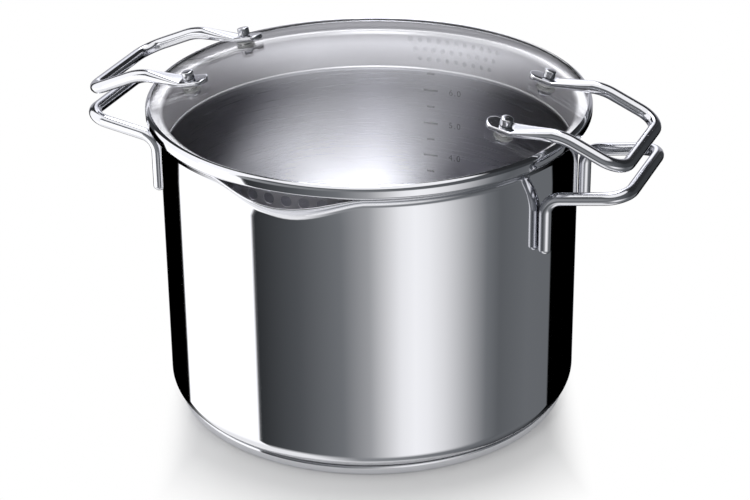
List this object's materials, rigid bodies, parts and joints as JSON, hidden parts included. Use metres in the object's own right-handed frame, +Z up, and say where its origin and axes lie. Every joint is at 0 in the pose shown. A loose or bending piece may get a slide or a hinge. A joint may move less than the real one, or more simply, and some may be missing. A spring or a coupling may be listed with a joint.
{
  "type": "stockpot with strainer lid",
  "caption": "Tall polished steel stockpot with wire loop handles, pouring lips, and a domed glass lid whose steel rim carries a perforated straining skirt.",
  "frame": {"origin": "centre of the flat underside of the base, where the pot stands", "axes": "+Z up through the lid, +X along the handles, -Y towards the coarse strainer and its pouring lip"},
  "size_m": [0.338, 0.266, 0.2029],
  "materials": {
    "polished_steel": "mirror polished",
    "satin_steel": "satin",
    "handle_steel": "mirror polished",
    "core_aluminium": "rolled",
    "lid_glass": "clear",
    "silicone": "translucent"
  },
  "bodies": {
    "pot": {"pot_shell": "polished_steel", "base_core": "core_aluminium", "base_cap": "polished_steel", "pot_handle_right": "handle_steel", "pot_handle_left": "handle_steel"},
    "lid": {"lid_glass": "lid_glass", "lid_rim": "polished_steel", "strainer_skirt": "satin_steel", "lid_handle_right": "handle_steel", "lid_handle_left": "handle_steel", "cap_nut_right_front": "handle_steel", "upper_washer_right_front": "silicone", "lower_washer_right_front": "silicone", "screw_right_front": "handle_steel", "cap_nut_right_back": "handle_steel", "upper_washer_right_back": "silicone", "lower_washer_right_back": "silicone", "screw_right_back": "handle_steel", "cap_nut_left_front": "handle_steel", "upper_washer_left_front": "silicone", "lower_washer_left_front": "silicone", "screw_left_front": "handle_steel", "cap_nut_left_back": "handle_steel", "upper_washer_left_back": "silicone", "lower_washer_left_back": "silicone", "screw_left_back": "handle_steel"}
  },
  "joints": [
    {"name": "lid_lift", "type": "slide", "parent": "pot", "child": "lid", "axis": [0, 0, 1], "range_m": [0, 0.15]}
  ]
}
